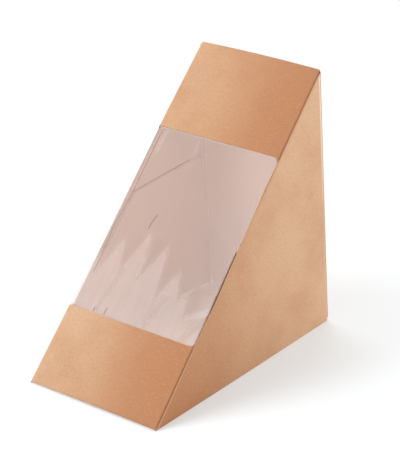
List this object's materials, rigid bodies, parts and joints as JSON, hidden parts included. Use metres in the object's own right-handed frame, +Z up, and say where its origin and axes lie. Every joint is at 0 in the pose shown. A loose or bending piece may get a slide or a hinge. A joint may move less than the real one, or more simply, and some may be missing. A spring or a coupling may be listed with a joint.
{
  "type": "windowed sandwich box",
  "caption": "Wedge-shaped takeaway box folded from brown board, with a clear window in its sloping front and a back panel that lifts from the ridge.",
  "frame": {"origin": "middle of the bottom of the box's bounding box, on the surface it stands on", "axes": "+Z up, +X across the box, to the right as seen from the sloping front; the front fold is on the -Y side and the back panel on the +Y side"},
  "size_m": [0.0732, 0.123, 0.123],
  "materials": {
    "brown_board": "uncoated brown board, matt, with fine fibres",
    "clear_film": "thin clear film, glossy"
  },
  "bodies": {
    "carton": {"carton": "brown_board", "window_film": "clear_film"},
    "lid": {"back_lid": "brown_board"}
  },
  "joints": [
    {"name": "lid_hinge", "type": "hinge", "parent": "carton", "child": "lid", "pos_m": [0, 0.0615, 0.1233], "axis": [1, 0, 0], "range_deg": [0, 135]}
  ]
}
